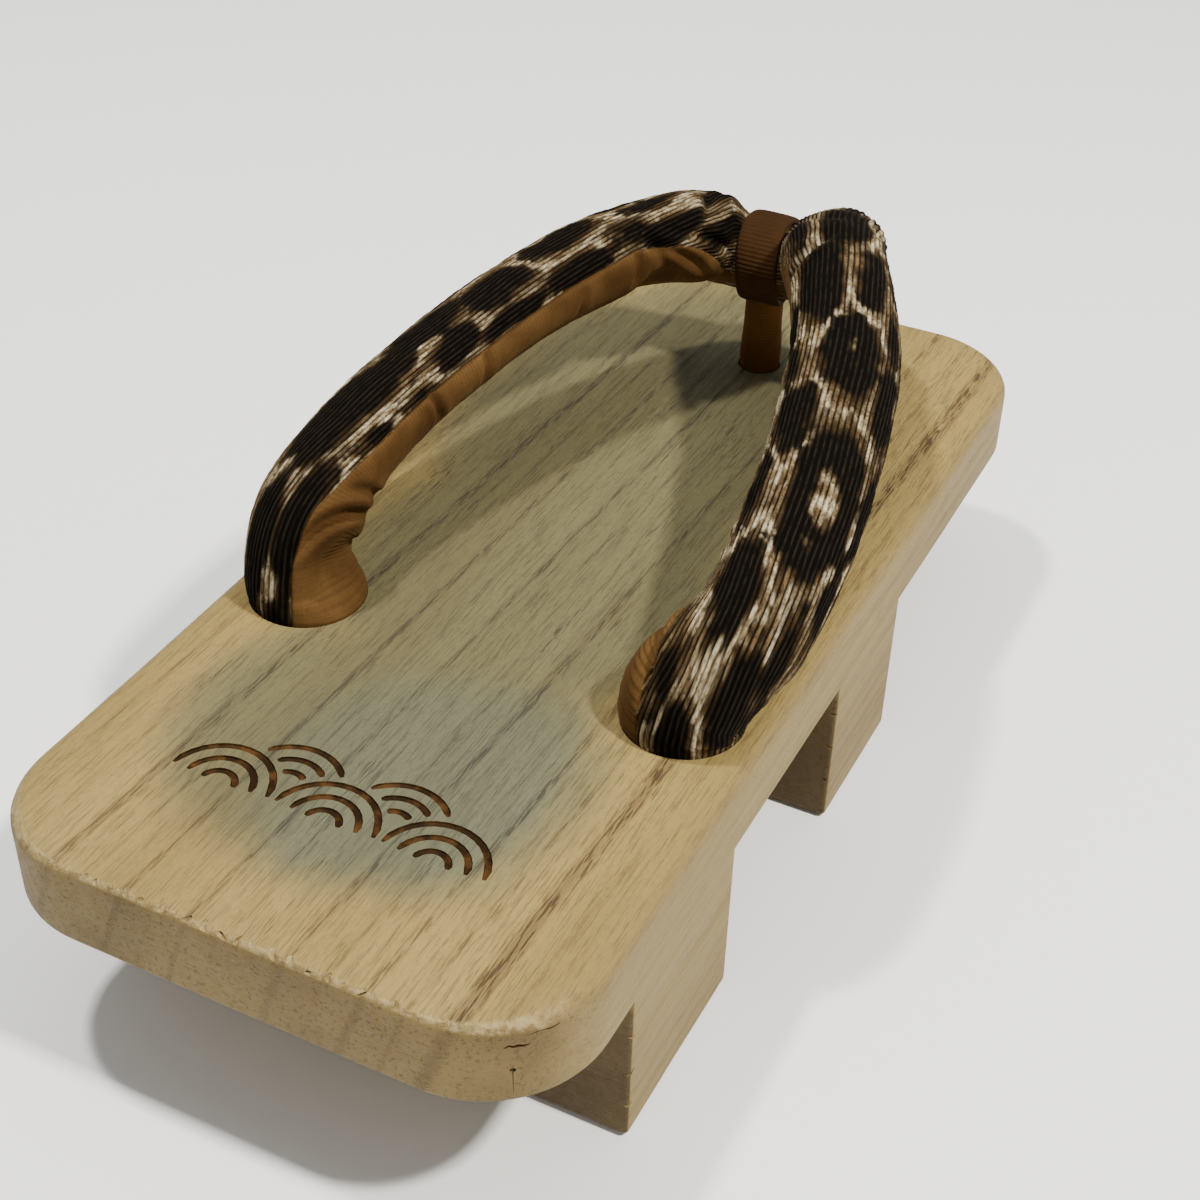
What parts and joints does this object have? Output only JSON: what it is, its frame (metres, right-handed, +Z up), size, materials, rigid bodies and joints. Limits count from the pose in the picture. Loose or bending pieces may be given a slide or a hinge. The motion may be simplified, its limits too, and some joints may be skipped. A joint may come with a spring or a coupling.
{
  "type": "geta sandal",
  "caption": "Wooden platform sandal with a cross tooth under the heel and under the ball, and a padded thong strap rising from the board's sides to a toe post.",
  "frame": {"origin": "on the floor, under the middle of the sole's box", "axes": "+Y from the heel to the toe, +X to the wearer's right, +Z up"},
  "size_m": [0.1161, 0.245, 0.0962],
  "materials": {
    "paulownia_wood": "bare, finely planed",
    "leopard_corduroy": "ribbed pile",
    "brown_velvet": "short pile",
    "tie_cord": "twisted hemp"
  },
  "bodies": {
    "root": {"dai_sole": "paulownia_wood", "strap_upper": "leopard_corduroy", "front_thong": "brown_velvet", "front_knot": "tie_cord", "rear_knot_right": "tie_cord", "rear_knot_left": "tie_cord"}
  },
  "joints": []
}
